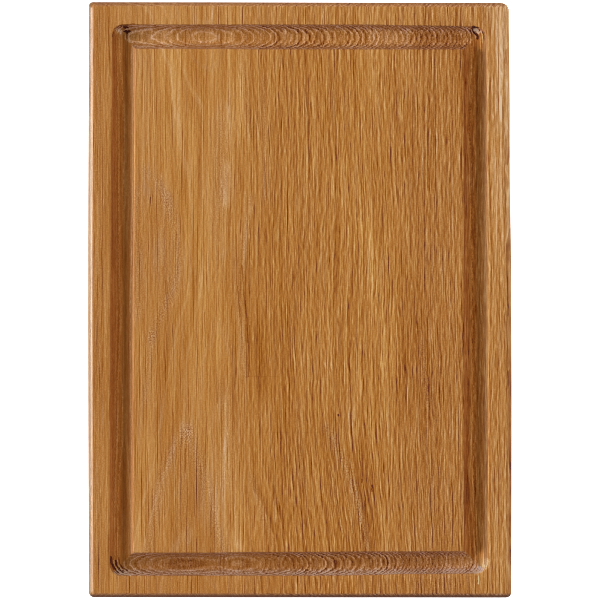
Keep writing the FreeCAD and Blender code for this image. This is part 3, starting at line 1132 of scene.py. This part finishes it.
def weigh_lines(graph, at):
    """The things that the tables weigh which follow from others."""
    at.open_pores = graph.math("MAXIMUM", at.paler, 0)
    at.pale_panel = at.open_pores * at.open_pores * graph.fall(at.x, *PANEL_END)
    at.lucky = at.luck * at.luck
    at.lucky_line = at.pale_line * at.luck
    at.lucky_pores = at.porous * at.luck
    at.torn_line = at.crisp * (at.torn * TORN_GAIN + 1)
    at.left_crosswise = at.left * at.crosswise
    at.pits = at.torn * (1.0 - at.crisp) * graph.step(at.serration, 0, 1)
    rows_left = (1.0 - at.groove * ROWS_IN_GROOVE) * (1.0 - at.end_grain * ROWS_ON_END)
    at.rows = weigh(at, ROW_TONES) * rows_left
    at.patchy_line = at.pale_line * (at.patchy * LINE_PATCHES + LINE_SHARE)
    mark_y = at.y + at.serration * RAGGED_ALONG
    mark_place = graph.point(weigh(at, RAGGED_ACROSS, at.x), mark_y, 0)
    strength = at.is_upper * (at.grit * MARK_GRIT + MARK_SHARE)
    at.marks = graph.marks(mark_place, MARKS) * strength
    at.chipped = graph.math("MAXIMUM", at.marks, 0)


def wood_colour(graph, at):
    """Colour of the wood and of the marks on it, before the tints for oil and the painted light and
    shade.
    """
    tone = weigh(at, TONE, PLAIN_TONE)
    pale = weigh(at, PALENESS)
    golden = graph.window(at.x, *MIDDLE_BAND) * GOLDEN_MIDDLE + GOLDEN
    golden = golden + graph.math("MAXIMUM", -at.paler, 0)
    colour = graph.mix(pale, graph.ramp(tone, TONES), graph.ramp(tone, PALE_TONES))
    return graph.shade(colour, golden * (1.0 - pale), GOLDEN_TINT)


def groove_tints(graph, at):
    """Tints as (share, tint): the side groove's oil, the end grain, the back and front grooves and the
    marks, and painted shade, light, sheen and a shadow line where the grooves' walls face towards or
    away from the low left light.
    """
    is_right = graph.step(at.x, -1, 1)
    groove_oil_and_shade = at.side_groove * (1.0 - at.end_grain * END_OIL)
    yield groove_oil_and_shade, SIDE_GROOVE_TINT
    yield groove_oil_and_shade * is_right, RIGHT_GROOVE_TINT
    left_line = at.y * LEFT_GROOVE_LINE[1] + LEFT_GROOVE_LINE[0]
    right_line = at.y * RIGHT_GROOVE_LINE[1] + RIGHT_GROOVE_LINE[0]
    off_middle = at.x - left_line - (right_line - left_line) * is_right
    # Painted shade on the side grooves' walls that face away from the low left light, and painted
    # light on the slopes beside them.
    yield groove_oil_and_shade * graph.fall(off_middle, *LEFT_WALL), LEFT_WALL_SHADE_TINT
    yield groove_oil_and_shade * graph.window(off_middle, *LEFT_SLOPE), LEFT_SLOPE_LIGHT_TINT
    # Painted shadow: a dark line along the side groove's bottom, right of its middle, where the low
    # left light doesn't reach past the rim.
    shadow_line_shift = graph.math("SIGN", at.x) * SHADOW_LINE_SPREAD + SHADOW_LINE_SHIFT
    yield groove_oil_and_shade * graph.fall(abs(off_middle - shadow_line_shift), *SHADOW_LINE), SHADOW_LINE_TINT
    # Painted sheen on the side grooves' walls that face the left; in the right groove the tint darkens
    # it again, as painted shade.
    yield at.fuzzy * is_right, RIGHT_SHEEN_WALL_TINT
    yield at.fuzzy * (1.0 - is_right), LEFT_SHEEN_WALL_TINT

    is_back = graph.step(at.y, -1, 1)
    yield at.end_groove * is_back, BACK_GROOVE_TINT
    yield at.end_groove * (1.0 - is_back), FRONT_GROOVE_TINT
    yield at.end_grain, END_TINT
    yield at.end_groove * graph.fall(at.off_y, *INNER_WALL) * is_back, INNER_WALL_TINT
    yield at.end_groove * graph.step(at.off_y, *OUTER_WALL) * is_back, OUTER_WALL_TINT

    # Painted highlight on the left-facing wall at the right groove's front corner, and painted shade
    # on the slope beside it.
    at_corner = is_right * graph.step(-at.y, *FRONT_CORNER)
    yield at.fuzzy * at_corner, CORNER_HIGHLIGHT_TINT
    corner_slope = at.groove * graph.window(off_middle, *CORNER_SLOPE)
    yield corner_slope * at_corner * (1.0 - at.torn), CORNER_SLOPE_SHADE_TINT
    yield at.torn, TORN_TINT
    # Chips, pale lines and the painted highlight at the front right corner take this tint.
    yield at.chipped * PALE_MARK_SHARE, PALE_MARK_TINT
    # Painted shade on the groove's eased rims that face the left.
    left_facing = graph.step(-at.facing_x, *LEFT_FACING) * at.inside
    yield left_facing * graph.step(at.z, *LEFT_FACING_DEPTH), LEFT_FACING_SHADE_TINT
    yield at.marks * CHECK_GAIN + CHECK_OFFSET, CHECK_TINT


def oil_and_shade_edges(graph, at, colour):
    """Tints each bevel, partly for its oil and partly with painted shade for how the lights fall on
    its side, sets its polish, and paints shade on the left side face.
    """
    polished = 0.0
    upper_edge = graph.step(at.z, *UPPER_EDGE)
    for (along, direction, reach), fade_start, tint, polish in EDGE_TINTS:
        inward = reach - (at.x if along == "x" else at.y) * direction
        near = upper_edge * graph.fall(inward, fade_start, EDGE_END)
        # Each bevel's tint: partly its oil, partly painted shade.
        colour = graph.shade(colour, near, tint)
        polished = near * polish + polished
    # Painted shade on the left side face, which the strong low light from the left would make too
    # bright.
    on_left_side = (1.0 - upper_edge) * graph.step(-at.x, *LEFT_SIDE)
    return graph.shade(colour, on_left_side, LEFT_SIDE_SHADE_TINT), polished


# Stage


# The floor can be seen from above only, so it doesn't hide the underside. It lies this far below
# the board, because two faces in one plane would flicker.
FLOOR_GAP = 0.0001
FLOOR_REACH = 4.0
FLOOR_COLOUR = (0.85, 0.85, 0.85, 1)
FLOOR_ROUGHNESS = 0.9
FLOOR_SPECULAR_LEVEL = 0.1
# The floor's own glow, which keeps it white beside the board.
FLOOR_GLOW = 0.75
WHITE = (1, 1, 1, 1)


def make_floor():
    mesh = bpy.data.meshes.new("floor")
    corners = [(-1, -1), (1, -1), (1, 1), (-1, 1)]
    vertices = [(x * FLOOR_REACH, y * FLOOR_REACH, -FLOOR_GAP) for x, y in corners]
    mesh.from_pydata(vertices, [], [(0, 1, 2, 3)])
    graph = Graph("pale_floor")
    shader = graph.node("ShaderNodeBsdfPrincipled", {
        "Base Color": FLOOR_COLOUR,
        "Roughness": FLOOR_ROUGHNESS,
        "Specular IOR Level": FLOOR_SPECULAR_LEVEL,
        "Emission Color": WHITE,
        "Emission Strength": FLOOR_GLOW,
    })
    is_below = graph.node("ShaderNodeNewGeometry", {}, "Backfacing")
    clear = graph.node("ShaderNodeBsdfTransparent", {})
    graph.show(graph.node("ShaderNodeMixShader", {0: is_below, 1: shader, 2: clear}))
    mesh.materials.append(graph.material)
    add_object("floor", mesh)


# Each light: name, azimuth from +x towards +y, elevation, share of the light. Angles in degrees.
LIGHTS = [
    ("left_low", 180, 12, 1.36),
    ("back_left", 135, 32, 0.34),
    ("back_right", 45, 32, 0.21),
    ("right_low_back", 45, 12, 0.16),
    ("front_right", 315, 32, 0.25),
    ("right_low_front", 315, 12, 0.17),
    ("front_high", 270, 55, 0.08),
    ("back_high", 90, 55, 0.07),
]
LIGHT_WIDTH = 30
LIGHT_DISTANCE = 2.0
# The white surroundings show behind the board but cast no light.
SURROUNDINGS = 1.0


def make_lights():
    for name, azimuth, elevation, share in LIGHTS:
        data = bpy.data.lights.new(name, "SUN")
        data.energy = share * math.pi
        data.angle = math.radians(LIGHT_WIDTH)
        light = add_object(name, data)
        around, up = math.radians(azimuth), math.radians(elevation)
        away = Vector((math.cos(around) * math.cos(up), math.sin(around) * math.cos(up), math.sin(up)))
        light.rotation_euler = away.to_track_quat("Z", "Y").to_euler()
        light.location = away * LIGHT_DISTANCE
    world = bpy.data.worlds.new("studio")
    bpy.context.scene.world = world
    world.use_nodes = True
    background = world.node_tree.nodes["Background"]
    background.inputs["Color"].default_value = WHITE
    background.inputs["Strength"].default_value = SURROUNDINGS
    world.cycles_visibility.diffuse = False
    world.cycles_visibility.glossy = False


# The camera looks straight down. Distance in metres; the picture's width at the height of the
# bevel's lower edge, and the place in its middle, in mm.
CAMERA_DISTANCE = 2.0
FRAME_WIDTH = 352.6
LOOK_AT = (0.09, -0.09)
SENSOR_WIDTH = 36.0


def make_camera():
    data = bpy.data.cameras.new("camera")
    data.sensor_width = SENSOR_WIDTH
    data.lens = SENSOR_WIDTH * CAMERA_DISTANCE / (FRAME_WIDTH * METRES)
    camera = add_object("camera", data)
    height = (THICKNESS - BEVEL) * METRES + CAMERA_DISTANCE
    camera.location = (LOOK_AT[0] * METRES, LOOK_AT[1] * METRES, height)
    scene = bpy.context.scene
    scene.camera = camera
    scene.view_settings.view_transform = "Standard"
    scene.view_settings.look = "None"
    scene.cycles.use_denoising = True
    scene.cycles.denoising_prefilter = "NONE"
    scene.cycles.filter_width = 1.0


main()
